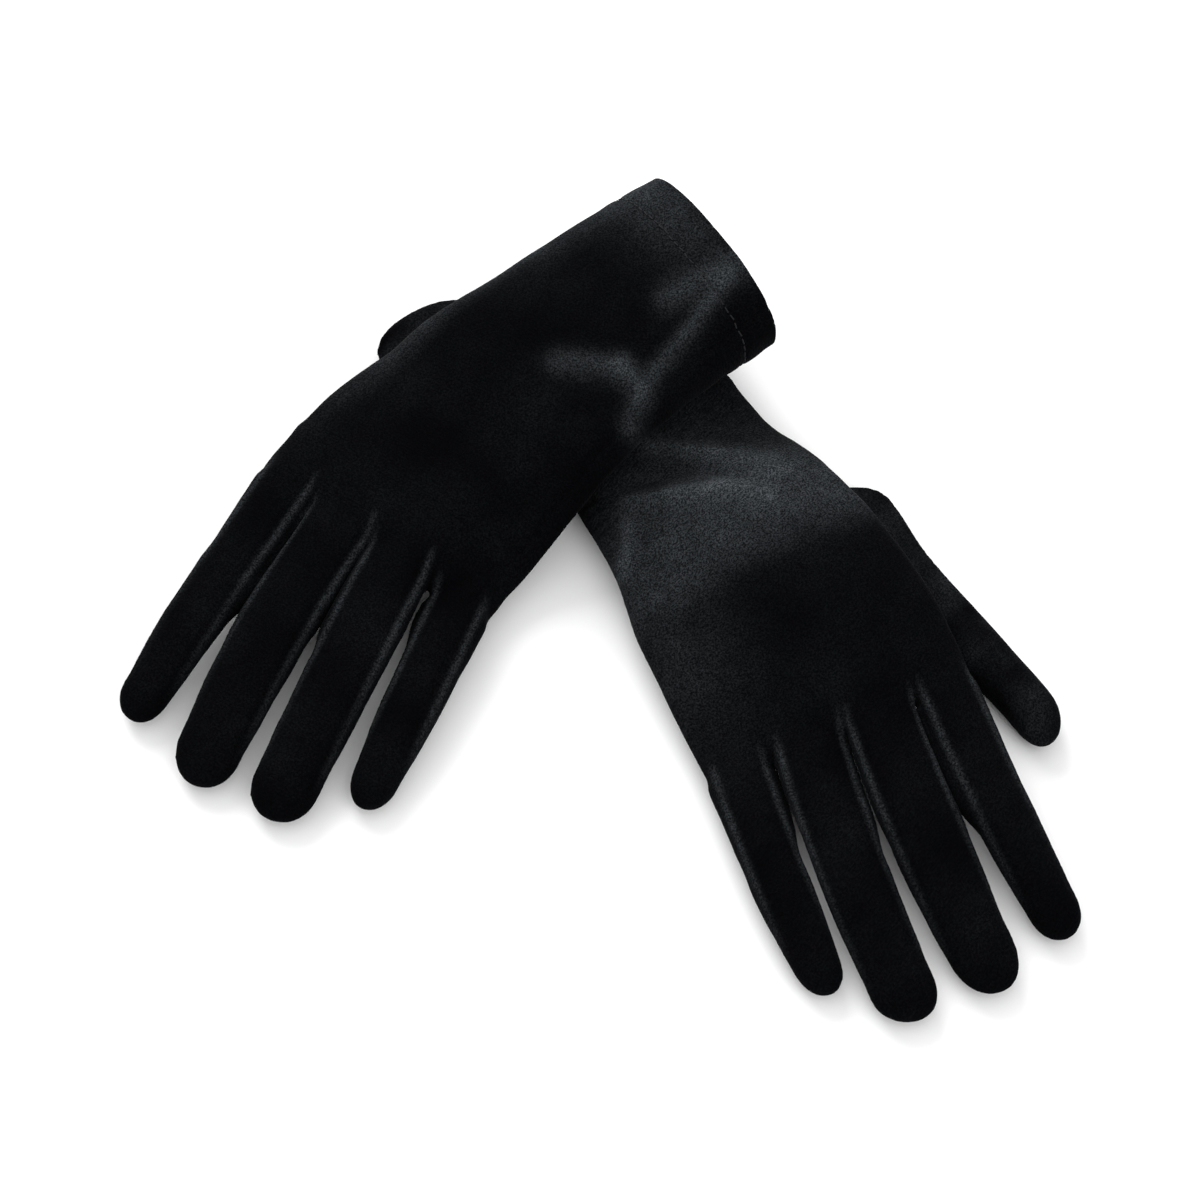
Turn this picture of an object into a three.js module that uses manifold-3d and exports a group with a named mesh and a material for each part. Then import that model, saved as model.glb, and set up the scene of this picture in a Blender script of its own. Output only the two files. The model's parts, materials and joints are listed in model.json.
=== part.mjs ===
// A pair of short stretch-velvet dress gloves lying palm down, the left cuff across the right one.
// Each glove is sewn from a back and a palm, four fingers of two faces and their fourchettes (the
// side walls between fingers), a thumb set into a hole in the palm, and a turned-in hem.
// Millimetres, +Z up, origin under the middle of the pair on the surface it lies on.
import * as THREE from "three";
import { mergeVertices } from "three/addons/utils/BufferGeometryUtils.js";
import Module from "manifold-3d";

const wasm = await Module();
wasm.setup();

// ---- the cloth
const CLOTH = 1.2; // velvet with its pile
const SEAM = 0.4; // clearance between two sewn edges
const SQUARENESS = 2.5; // exponent of a section: 2 is an ellipse, more is boxier

// ---- the hand, from the hem to the knuckles
const HAND_LENGTH = 132;
const KNUCKLE_HALF_HEIGHT = 6.5;
const PALM_HALF_WIDTH = 43;
const PALM_HALF_HEIGHT = 9;

// ---- fingers, measured from the knuckle joint to the tip
const FINGER_HALF_HEIGHT = 5;
const FINGER_START = 10; // cloth left free to bend between the hand and a finger
const FINGER_TAPER = 0.35; // of its width, towards the tip and a little towards the root
const FOURCHETTE_SHARE = 0.6; // of a finger's height, on the sides that have one
const FINGER_GAP = 0.5; // between neighbouring fingers at the knuckles
const INDEX_EDGE = 0.2; // of the hand beyond the index finger, at the knuckles
const PINKY_EDGE = 2.3; // of the hand beyond the pinky
const FINGERS = [
  { name: "index", beyondHand: 0, length: 83, halfWidth: 9.6, splay: 4.5 },
  { name: "middle", beyondHand: 1, length: 89, halfWidth: 10.6, splay: -1 },
  { name: "ring", beyondHand: 0, length: 89, halfWidth: 10.5, splay: -4 },
  { name: "pinky", beyondHand: -1, length: 71, halfWidth: 10.3, splay: -4 },
];
const widthTogether = (fingers) =>
  fingers.reduce((sum, { halfWidth }) => sum + 2 * halfWidth + FINGER_GAP, 0);
const KNUCKLE_HALF_WIDTH = (INDEX_EDGE + widthTogether(FINGERS) - FINGER_GAP + PINKY_EDGE) / 2;

// ---- the thumb, sewn at its root round a hole in the palm and measured from there to its tip
const THUMB_HALF_WIDTH = 10;
const THUMB_HALF_HEIGHT = 4;
const THUMB_HOLE_RADIUS = 7;
const THUMB_TAPER = 0.15; // of its width, half way along
const THUMB_CLEARANCE = 1; // between the thumb and the palm that lies on it

// ---- the hem
const HEM_DEPTH = 12;

// ---- how each glove lies
const LEFT_OVER_RIGHT = 1; // clearance between the crossed gloves
const RIGHT_WRIST_HALF_HEIGHT = 7;
const GLOVES = [
  {
    name: "right",
    side: 1, // thumb towards +Y of the glove's own frame
    cuff: [4, 65.5],
    heading: -54,
    bend: 14, // turn of the spine from hem to knuckles, towards the little finger
    bendAt: 0.5, // where along it the turn is
    sweep: -1.5, // extra turn of all the fingers, towards the thumb
    wrist: [
      [33, RIGHT_WRIST_HALF_HEIGHT],
      [32, RIGHT_WRIST_HALF_HEIGHT],
      [36, 8.5],
      [41, 9.5],
    ],
    crossing: 0,
    thumb: { along: 80, across: 27, length: 84, turn: 20 },
    liftBand: [-28, 6], // the palm rises onto the thumb between these, across
  },
  {
    name: "left",
    side: -1,
    cuff: [33.5, 98],
    heading: -145.5,
    bend: 17,
    bendAt: 0.6,
    sweep: -11.5,
    wrist: [
      [29, 18],
      [32, 15.5],
      [36, 12],
      [41, 10],
    ],
    crossing: 2 * RIGHT_WRIST_HALF_HEIGHT + LEFT_OVER_RIGHT,
    thumb: { along: 66, across: 30, length: 72, turn: -40 },
    liftBand: [-42, -14],
  },
];
const THUMB_LIFT = 2 * THUMB_HALF_HEIGHT + THUMB_CLEARANCE;
const THUMB_LIFT_ALONG = [30, 60];
const CROSSING_ENDS = [66, 116]; // along the upper glove, where it comes down off the lower one

const VELVET = { color: 0x0b0b0e, roughness: 0.85, metalness: 0 };
const HEM_VELVET = { color: 0x101014, roughness: 0.9, metalness: 0 };

const radians = THREE.MathUtils.degToRad;
const ramp = (x, [from, to]) => THREE.MathUtils.smoothstep(x, from, to);

// ---- sections

// A point of a flattened oval section, angle 0 on the thumb side and a quarter turn on top.
function ovalPoint(angle, halfWidth, halfHeight) {
  const bulge = (value) => Math.sign(value) * Math.abs(value) ** (2 / SQUARENESS);
  return [halfWidth * bulge(Math.cos(angle)), halfHeight * bulge(Math.sin(angle))];
}

// The angle on that section where the given share of the half height is reached.
const angleAtHeight = (share) => Math.asin(share ** (SQUARENESS / 2));

// ---- closed bodies

function closedGeometry(points, triangles, flipped) {
  const index = flipped ? triangles.flatMap(([a, b, c]) => [a, c, b]) : triangles.flat();
  const geometry = new THREE.BufferGeometry();
  geometry.setAttribute("position", new THREE.Float32BufferAttribute(points.flat(), 3));
  geometry.setIndex(index);
  return mergeVertices(geometry, 1e-4);
}

// A panel of cloth: an outer and an inner face over rows along it and columns across it, with its
// four edges closed. face(wall, along, angle) gives a point, wall 0 outside and CLOTH inside.
function panel(face, rows, columns, [fromAngle, toAngle], flipped) {
  const points = [];
  const triangles = [];
  const stride = columns + 1;
  const layer = (rows + 1) * stride;
  for (const wall of [0, CLOTH])
    for (let row = 0; row <= rows; row++)
      for (let column = 0; column <= columns; column++)
        points.push(face(wall, row / rows, THREE.MathUtils.lerp(fromAngle, toAngle, column / columns)));
  const at = (inner, row, column) => inner * layer + row * stride + column;
  const quad = (a, b, c, d) => triangles.push([a, c, b], [a, d, c]);
  for (let row = 0; row < rows; row++)
    for (let column = 0; column < columns; column++) {
      quad(at(0, row, column), at(0, row + 1, column), at(0, row + 1, column + 1), at(0, row, column + 1));
      quad(at(1, row, column), at(1, row, column + 1), at(1, row + 1, column + 1), at(1, row + 1, column));
    }
  for (let row = 0; row < rows; row++) {
    quad(at(0, row + 1, 0), at(0, row, 0), at(1, row, 0), at(1, row + 1, 0));
    quad(at(0, row, columns), at(0, row + 1, columns), at(1, row + 1, columns), at(1, row, columns));
  }
  for (let column = 0; column < columns; column++) {
    quad(at(0, 0, column), at(0, 0, column + 1), at(1, 0, column + 1), at(1, 0, column));
    quad(at(0, rows, column + 1), at(0, rows, column), at(1, rows, column), at(1, rows, column + 1));
  }
  return closedGeometry(points, triangles, flipped);
}

// A solid with the outline of face() all round, closed by a fan at each end.
function plug(face, wall, rows, columns, flipped) {
  const points = [];
  const triangles = [];
  for (let row = 0; row <= rows; row++)
    for (let column = 0; column < columns; column++)
      points.push(face(wall, row / rows, (2 * Math.PI * column) / columns));
  const at = (row, column) => row * columns + (column % columns);
  for (let row = 0; row < rows; row++)
    for (let column = 0; column < columns; column++) {
      triangles.push([at(row, column), at(row + 1, column + 1), at(row + 1, column)]);
      triangles.push([at(row, column), at(row, column + 1), at(row + 1, column + 1)]);
    }
  for (let column = 1; column < columns - 1; column++) {
    triangles.push([at(0, 0), at(0, column + 1), at(0, column)]);
    triangles.push([at(rows, 0), at(rows, column), at(rows, column + 1)]);
  }
  return closedGeometry(points, triangles, flipped);
}

function toManifold(geometry) {
  return new wasm.Manifold(
    new wasm.Mesh({
      numProp: 3,
      vertProperties: new Float32Array(geometry.attributes.position.array),
      triVerts: new Uint32Array(geometry.index.array),
    }),
  );
}

function toGeometry(manifold) {
  const mesh = manifold.getMesh();
  const geometry = new THREE.BufferGeometry();
  geometry.setAttribute("position", new THREE.BufferAttribute(mesh.vertProperties, 3));
  geometry.setIndex(new THREE.BufferAttribute(mesh.triVerts, 1));
  return geometry;
}

// ---- the shape of one glove

// Smooth half widths and half heights of the hand, hem to knuckles.
function handProfile(glove) {
  const sizes = [
    ...glove.wrist,
    [PALM_HALF_WIDTH, PALM_HALF_HEIGHT],
    [KNUCKLE_HALF_WIDTH, KNUCKLE_HALF_HEIGHT],
  ];
  const steps = sizes.length - 1;
  const curve = new THREE.CatmullRomCurve3(
    sizes.map(([width, height], i) => new THREE.Vector3((i * HAND_LENGTH) / steps, width, height)),
  );
  return (share) => curve.getPoint(share);
}

// Where the pattern point (along, across) lies on the bent spine, and the spine's heading there.
function spinePoint(glove, along, across) {
  const turn = -radians(glove.bend) * glove.side;
  const corner = new THREE.Vector2(glove.bendAt * HAND_LENGTH, 0);
  const rest = (1 - glove.bendAt) * HAND_LENGTH;
  const end = new THREE.Vector2(Math.cos(turn), Math.sin(turn)).multiplyScalar(rest).add(corner);
  const spine = new THREE.QuadraticBezierCurve(new THREE.Vector2(0, 0), corner, end);
  const share = THREE.MathUtils.clamp(along / HAND_LENGTH, 0, 1);
  const tangent = spine.getTangentAt(share);
  const point = spine.getPointAt(share).addScaledVector(tangent, along - share * HAND_LENGTH);
  const offset = across * glove.side;
  return { x: point.x - offset * tangent.y, y: point.y + offset * tangent.x, angle: tangent.angle() };
}

// How far the underside is held off the surface, by the thumb under the palm or by the glove below.
function lift(glove, along, across) {
  const thumb = THUMB_LIFT * ramp(along, THUMB_LIFT_ALONG) * ramp(across, glove.liftBand);
  const crossing = glove.crossing * (1 - ramp(along, CROSSING_ENDS));
  return Math.max(thumb, crossing);
}

function handFace(glove, share0 = 0, share1 = 1, inset = 0) {
  const profile = handProfile(glove);
  return (wall, row, angle) => {
    const size = profile(THREE.MathUtils.lerp(share0, share1, row));
    const inside = wall + inset;
    const [across, height] = ovalPoint(angle, size.y - inside, size.z - inside);
    const { x, y } = spinePoint(glove, size.x, across);
    return [x, y, size.z + lift(glove, size.x, across) + height];
  };
}

// A finger along +X: a flat tube, fullest at its middle, with a round closed tip.
function fingerFace(finger, side) {
  return (wall, row, angle) => {
    const end = finger.length - wall;
    const share = Math.sin((Math.PI / 2) * row);
    const x = THREE.MathUtils.lerp(FINGER_START, end, share);
    const fromTip = Math.min(1, (end - x) / (1.3 * finger.halfWidth));
    const round = Math.max(0.05, 1 - (1 - fromTip) ** 2.4) ** 0.5;
    const fullness = 1 - FINGER_TAPER * (share - 0.4) ** 2;
    const nearKnuckle = Math.min(1, 3 * share);
    const height = THREE.MathUtils.lerp(KNUCKLE_HALF_HEIGHT - 1, FINGER_HALF_HEIGHT, nearKnuckle);
    const halfWidth = finger.halfWidth * fullness - wall;
    const [across, up] = ovalPoint(angle, halfWidth * round, (height - wall) * round);
    return [x, across * side, up];
  };
}

function addMesh(group, name, geometry, finish = VELVET) {
  const mesh = new THREE.Mesh(geometry, new THREE.MeshStandardMaterial(finish));
  mesh.name = name;
  group.add(mesh);
}

// The seam angles of a panel between two neighbours, drawn in by half the seam's clearance.
const between = (from, to, clearance) => [from + clearance, to - clearance];

function addHand(group, glove) {
  const flipped = glove.side < 0;
  const clearance = SEAM / (2 * RIGHT_WRIST_HALF_HEIGHT);
  const back = panel(handFace(glove), 12, 12, between(0, Math.PI, clearance), flipped);
  const palm = panel(handFace(glove), 12, 12, between(Math.PI, 2 * Math.PI, clearance), flipped);
  addMesh(group, `${glove.name}_back`, back);
  const openPalm = toManifold(palm).subtract(thumbHole(glove));
  addMesh(group, `${glove.name}_palm`, toGeometry(openPalm));
  const hemFace = handFace(glove, 0, HEM_DEPTH / HAND_LENGTH, CLOTH + SEAM);
  const hem = panel(hemFace, 2, 20, between(0, 2 * Math.PI, clearance), flipped);
  addMesh(group, `${glove.name}_hem`, hem, HEM_VELVET);
}

function thumbFrame(glove) {
  const { x, y, angle } = spinePoint(glove, glove.thumb.along, glove.thumb.across);
  const turn = angle + radians(glove.thumb.turn) * glove.side;
  return { position: new THREE.Vector3(x, y, THUMB_HALF_HEIGHT), turn };
}

// The upright core that is cut out of the palm and out of the thumb's root, where they are joined.
function thumbHole(glove) {
  const { position } = thumbFrame(glove);
  const core = new THREE.CylinderGeometry(THUMB_HOLE_RADIUS, THUMB_HOLE_RADIUS, 4 * THUMB_LIFT, 24);
  core.deleteAttribute("normal");
  core.deleteAttribute("uv");
  core.rotateX(Math.PI / 2);
  core.translate(position.x, position.y, position.z + 2 * THUMB_LIFT);
  return toManifold(mergeVertices(core));
}

// The frame of a finger: its knuckle joint, with +X sloping down to where the tip lies.
function fingerFrame(glove, place) {
  const finger = FINGERS[place];
  const nearer = INDEX_EDGE + widthTogether(FINGERS.slice(0, place));
  const across = KNUCKLE_HALF_WIDTH - nearer - finger.halfWidth;
  const { x, y, angle } = spinePoint(glove, HAND_LENGTH + finger.beyondHand, across);
  const height = KNUCKLE_HALF_HEIGHT + lift(glove, HAND_LENGTH, across);
  const frame = new THREE.Group();
  frame.position.set(x, y, height);
  frame.rotation.order = "ZYX";
  frame.rotation.z = angle + radians(finger.splay + glove.sweep) * glove.side;
  frame.rotation.y = Math.asin((height - FINGER_HALF_HEIGHT) / finger.length);
  return frame;
}

// A finger's back and front, and a fourchette on each side where another finger is.
function addFinger(group, glove, place) {
  const finger = FINGERS[place];
  const frame = fingerFrame(glove, place);
  group.add(frame);

  const corner = angleAtHeight(FOURCHETTE_SHARE);
  const clearance = SEAM / (2 * FINGER_HALF_HEIGHT);
  const face = fingerFace(finger, glove.side);
  const thumbwards = FINGERS[place - 1];
  const outwards = FINGERS[place + 1];
  const start = thumbwards ? corner : 0;
  const end = outwards ? Math.PI - corner : Math.PI;
  const addPanel = (name, columns, from, to) => {
    const geometry = panel(face, 10, columns, between(from, to, clearance), glove.side < 0);
    addMesh(frame, `${glove.name}_${finger.name}_${name}`, geometry);
  };
  addPanel("back", 6, start, end);
  addPanel("front", 6, 2 * Math.PI - end, 2 * Math.PI - start);
  if (thumbwards) addPanel(`fourchette_to_${thumbwards.name}`, 2, -corner, corner);
  if (outwards) addPanel(`fourchette_to_${outwards.name}`, 2, Math.PI - corner, Math.PI + corner);
}

// One piece folded round on itself: a flat bag with both ends round and a hole on top of its root.
function addThumb(group, glove) {
  const { position, turn } = thumbFrame(glove);
  const place = new THREE.Matrix4().makeRotationZ(turn).setPosition(position);
  const face = (wall, row, angle) => {
    const reach = (glove.thumb.length + THUMB_HALF_WIDTH) / 2 - wall;
    const x = -Math.cos(Math.PI * row);
    const round = Math.max(0.03, (1 - Math.abs(x) ** 10) ** 0.5);
    const taper = 1 - THUMB_TAPER * (x + 1);
    const [across, up] = ovalPoint(
      angle, (THUMB_HALF_WIDTH * taper - wall) * round, (THUMB_HALF_HEIGHT - wall) * round,
    );
    return [reach * x + (glove.thumb.length - THUMB_HALF_WIDTH) / 2, across, up];
  };
  const body = (wall) => toManifold(plug(face, wall, 16, 20, false).applyMatrix4(place));
  const bag = body(0).subtract(body(CLOTH));
  addMesh(group, `${glove.name}_thumb`, toGeometry(bag.subtract(thumbHole(glove))));
}

function makeGlove(glove) {
  const group = new THREE.Group();
  group.position.set(...glove.cuff, 0);
  group.rotation.z = radians(glove.heading);
  addHand(group, glove);
  for (const place of FINGERS.keys()) addFinger(group, glove, place);
  addThumb(group, glove);
  return group;
}

const pair = new THREE.Group();
for (const glove of GLOVES) pair.add(makeGlove(glove));

// The origin goes under the middle of the pair, on the surface.
const extent = new THREE.Box3().setFromObject(pair, true);
const centre = extent.getCenter(new THREE.Vector3());
pair.position.set(-centre.x, -centre.y, -extent.min.z);

export default pair;
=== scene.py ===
import json
import math

import bpy
import numpy as np
from mathutils import Matrix, Vector


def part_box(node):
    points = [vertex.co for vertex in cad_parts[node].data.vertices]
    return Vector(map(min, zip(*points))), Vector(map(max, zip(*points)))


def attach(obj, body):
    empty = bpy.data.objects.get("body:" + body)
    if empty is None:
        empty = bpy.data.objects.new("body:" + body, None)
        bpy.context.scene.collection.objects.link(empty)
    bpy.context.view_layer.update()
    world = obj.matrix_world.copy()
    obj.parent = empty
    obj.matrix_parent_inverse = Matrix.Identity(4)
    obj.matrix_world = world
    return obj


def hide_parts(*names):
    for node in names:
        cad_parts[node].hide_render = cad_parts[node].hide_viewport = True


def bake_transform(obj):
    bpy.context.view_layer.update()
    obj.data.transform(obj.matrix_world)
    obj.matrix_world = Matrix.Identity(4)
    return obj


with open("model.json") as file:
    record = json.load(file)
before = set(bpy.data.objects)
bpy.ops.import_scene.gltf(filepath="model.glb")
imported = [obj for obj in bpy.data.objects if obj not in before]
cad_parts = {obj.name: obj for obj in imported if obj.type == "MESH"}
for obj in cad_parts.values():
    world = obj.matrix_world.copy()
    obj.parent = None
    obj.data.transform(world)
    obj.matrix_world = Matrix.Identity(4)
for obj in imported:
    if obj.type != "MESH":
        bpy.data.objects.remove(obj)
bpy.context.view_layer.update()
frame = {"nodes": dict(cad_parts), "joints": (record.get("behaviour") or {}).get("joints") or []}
MM = 0.001

# A pair of short black stretch-velvet gloves. Each is modelled as one filled form, made into a skin
# of even faces, shaped with its seams and folds, and then parted at its knuckles.

HAND_LENGTH = 132 * MM  # from the cuff to the knuckles, along the hand's middle line
HEM_DEPTH = 11.5 * MM  # how far the cloth is turned in at the cuff
CLOTH = 1.0 * MM  # thickness of the velvet
VOXEL = 1.0 * MM  # size of the skin's faces
FINGER_REACH = 16 * MM  # no part of a finger lies further than this from its middle line
JOINTS = {joint["name"]: joint for joint in frame["joints"]}
FINGER_NAMES = ("index", "middle", "ring", "pinky")
FINGER_HALF_WIDTH = {"index": 9.1, "middle": 11.4, "ring": 10.8, "pinky": 8.9}  # in mm
FINGER_TAPER = {"index": 0.17, "middle": 0.13, "ring": 0.05, "pinky": 0.24}  # share lost by the tip
# Each finger's length, and how far it curves towards the thumb's side at its middle and its tip, in mm.
FINGERS = {
    "right": {
        "index": (82.5, -1.9, -2.2), "middle": (89.5, -1.4, 2.4),
        "ring": (90, -1.4, 3.4), "pinky": (74.5, -0.4, 4.1),
    },
    "left": {
        "index": (88, 0.2, -0.8), "middle": (93, 1.9, 0.8),
        "ring": (89.5, 0.5, 1.8), "pinky": (71, -0.6, -0.2),
    },
}
# How far beyond the knuckles the gaps between the fingers open, from the index finger on, in mm.
GAPS = {"right": (40, 34, 26), "left": (43, 33, 15)}
GAP_START = 5 * MM  # a gap begins to open this far before its place in GAPS
GAP_END = 7 * MM  # and is fully open this far beyond it
PRESS = 0.2  # how far the cloth of two fingers that lie side by side is pressed together, in mm
PRESS_START = (0.5 * MM, 6 * MM)  # fingers are filled out from none to fully over this stretch
SLIM = 0.87  # fingers are formed this much slimmer, so that they stay apart until they are pressed
NO_LIMIT = 1.0  # in metres, far wider than any finger

# A hand's middle line starts at its cuff, set off at its heading in degrees, and has turned by its
# bend at the knuckles, most of it near bend_at of its length. Stations are evenly spaced from hem to
# knuckles: half widths to the thumb's side and to the little finger's, and half heights. A hand is
# lifted by its crossing at the cuff, and over its thumb by THUMB_LIFT, which grows over lift_band.
# A thumb has its length, half widths at root and tip, half height, how far it drifts away from the
# fingers at root and tip, its bow at the middle, an outward bulge with its place, and how far back it
# reaches into the hand. Lengths are in mm.
GLOVES = {
    "right": dict(
        side=1, cuff=(3.9, 73.6), heading=-54, bend=14, bend_at=0.5, crossing=0,
        thumb_side=(34, 33, 35.5, 40, 42.5, 42), finger_side=(33, 31, 34, 39.5, 41, 39.6),
        height=(7, 7, 9, 10.5, 9.5, 7), lift_band=(-28, 6),
        thumb=dict(
            length=86, root=17, tip=7.6, height=6.5, drift=(0.5, -4), bow=5.6, bulge=(11, -7), back=26,
        ),
    ),
    "left": dict(
        side=-1, cuff=(33.4, 106.1), heading=-145.5, bend=17, bend_at=0.6, crossing=15,
        thumb_side=(32.5, 34, 35.5, 40.5, 43.5, 42.5), finger_side=(32.5, 33.5, 35, 38.5, 38.7, 39.3),
        height=(18, 16, 13, 11, 9.5, 7), lift_band=(-42, -14),
        thumb=dict(
            length=74, root=17, tip=7.8, height=5, drift=(7, 0), bow=0, bulge=(6.5, -3), back=22,
        ),
    ),
}
THUMB_LIFT = 9.0  # in mm
THUMB_LIFT_ALONG = (30, 60)  # the stretch from the cuff over which the thumb's lift grows, in mm
CROSSING_ENDS = (66, 116)  # the stretch over which the crossing glove comes down again, in mm
LINE_STEPS = 200  # points on a hand's middle line
LEAD_IN = 12  # points on that line before the cuff, 1 mm apart
LEAD_OUT = 60  # points beyond the knuckles, 1 mm apart
BATCH = 20000  # points measured against the middle line at a time

# Forms: rings along a tube and points around it, how square its section is, and its sizes.
HAND_TUBE = dict(rings=48, around=64)
FINGER_TUBE = dict(rings=40, around=32)
THUMB_TUBE = dict(rings=40, around=36)
HAND_SQUARENESS = 2.3
LIMB_SQUARENESS = 2.2
TIP_SQUARENESS = 2.3
HAND_START = -6 * MM  # the hand's form starts before its cuff, where it is cut off later
HAND_EXTRA = 8.5 * MM  # and is this much longer than the hand
HAND_CLOSES = (HAND_LENGTH - 4 * MM, HAND_LENGTH + 3 * MM)  # its end is rounded over this stretch
HAND_END = 0.05  # square of the share of its height that is left at its end
FINGER_HIDDEN = 16 * MM  # how far a finger's form reaches back into the hand
FINGER_TIP_HEIGHT = 5.2 * MM  # the middle of a fingertip lies this high
FINGER_ARCH = 1.6 * MM  # the middle of a finger rises this much
FINGER_TIP_LENGTH = 1.25  # length of its rounded end, in half widths
FINGER_ROOT = 1.08  # width of a finger's root, as a share of its half width
FINGER_WAIST = 0.1  # share lost from there by 0.45 of its length
FINGER_TAPERS = (0.5, 1)  # the taper to the tip comes over this share of its length
FINGER_ROOT_HEIGHT = 6.6  # half height of a finger's root, in mm
FINGER_ROOT_FALL = 0.9  # how much lower it is after 0.3 of its length, in mm
FINGER_FALL = 0.3  # and how much it loses evenly over its length, in mm
FINGER_FLOOR = 0.2 * MM  # no finger is formed lower than this
THUMB_TAPERS = (0.05, 0.75)  # the same shares of a thumb's length
THUMB_RISES = (0.3, 0.7)
THUMB_TIP_LENGTH = 11 * MM
THUMB_BULGE_LENGTH = 17 * MM
THUMB_ROOT_HEIGHT = 4.2  # half height of the thumb's root, in mm
THUMB_RISE = 2.5  # how much fuller it grows towards its tip, in mm
STATION_SAMPLES = 241
STATION_WINDOW = 49  # samples that are averaged to round a curve off at its stations
SKIN_SMOOTHING = dict(factor=0.5, iterations=8)
CUT_BACK = 0.4 * MM  # a cut across the wrist lies this far before its place
HEM_GAP = 0.35 * MM  # the turned-in cloth lies this far inside the glove's own cloth
HEM_CLOTH = 0.8 * MM  # thickness of the turned-in cloth


# ---------------------------------------------------------------- small tools


def smooth(x, start, end):
    t = np.clip((x - start) / (end - start), 0, 1)
    return t * t * (3 - 2 * t)


def bump(x, centre, width):
    return np.exp(-(((x - centre) / width) ** 2))


def only(obj):
    bpy.ops.object.select_all(action="DESELECT")
    obj.select_set(True)
    bpy.context.view_layer.objects.active = obj


def give_name(obj, name):
    obj.name = name
    obj.data.name = name


def join(parts):
    only(parts[0])
    for part in parts[1:]:
        part.select_set(True)
    if len(parts) > 1:
        bpy.ops.object.join()
    return parts[0]


def apply_modifier(obj, kind, **settings):
    only(obj)
    modifier = obj.modifiers.new(kind.lower(), kind)
    for key, value in settings.items():
        setattr(modifier, key, value)
    bpy.ops.object.modifier_apply(modifier=modifier.name)


def points(obj):
    co = np.empty(len(obj.data.vertices) * 3)
    obj.data.vertices.foreach_get("co", co)
    return co.reshape(-1, 3)


def set_points(obj, co):
    obj.data.vertices.foreach_set("co", co.reshape(-1))
    obj.data.update()


def normals(obj):
    n = np.empty(len(obj.data.vertices) * 3)
    obj.data.vertices.foreach_get("normal", n)
    return n.reshape(-1, 3)


def is_upright(mesh, edge):
    first, second = [mesh.vertices[i].co.z for i in edge.vertices]
    return abs(first - second) > 0.5


def closed_tube(name, rings, around):
    """A closed cylinder along Z with evenly spaced rings, to be drawn out into a limb of a glove."""
    bpy.ops.object.select_all(action="DESELECT")
    bpy.ops.mesh.primitive_cylinder_add(vertices=around, radius=1, depth=1, end_fill_type="TRIFAN")
    obj = bpy.context.active_object
    obj.name = name
    upright = [is_upright(obj.data, edge) for edge in obj.data.edges]
    bpy.ops.object.mode_set(mode="EDIT")
    bpy.ops.mesh.select_all(action="DESELECT")
    bpy.ops.mesh.select_mode(type="EDGE")
    bpy.ops.object.mode_set(mode="OBJECT")
    for edge, chosen in zip(obj.data.edges, upright):
        edge.select = chosen
    bpy.ops.object.mode_set(mode="EDIT")
    bpy.ops.mesh.subdivide(number_cuts=rings - 1)
    bpy.ops.object.mode_set(mode="OBJECT")
    return obj


def draw_out(obj, place):
    """Moves every point to place(share along, angle round, radius)."""
    co = points(obj)
    share = co[:, 2] + 0.5
    angle = np.arctan2(co[:, 1], co[:, 0])
    radius = np.hypot(co[:, 0], co[:, 1])
    set_points(obj, place(share, angle, radius))


def superoval(angle, squareness):
    """Width and height, from -1 to 1, of a point on an oval that is a little square."""
    c, s = np.cos(angle), np.sin(angle)
    return np.sign(c) * np.abs(c) ** (2 / squareness), np.sign(s) * np.abs(s) ** (2 / squareness)


def rounded(share, squareness):
    """Falls from 1 to 0 as the share goes from 0 to 1, like the end of an oval."""
    return np.sqrt(np.clip(1 - np.clip(share, 0, 1) ** squareness, 0, 1))


def stations(values, share):
    """A smooth curve through evenly spaced values."""
    last = len(values) - 1
    half = STATION_WINDOW // 2
    fine = np.linspace(0, last, STATION_SAMPLES)
    v = np.interp(fine, np.arange(len(values)), values)
    kernel = np.hanning(STATION_WINDOW)
    before = v[0] - (v[half:0:-1] - v[0])
    after = v[-1] - (v[-2 : -half - 2 : -1] - v[-1])
    curve = np.convolve(np.concatenate([before, v, after]), kernel / kernel.sum(), "valid")
    return np.interp(np.clip(share, 0, 1) * last, fine, curve)


# ---------------------------------------------------------------- the pattern of a glove


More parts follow.
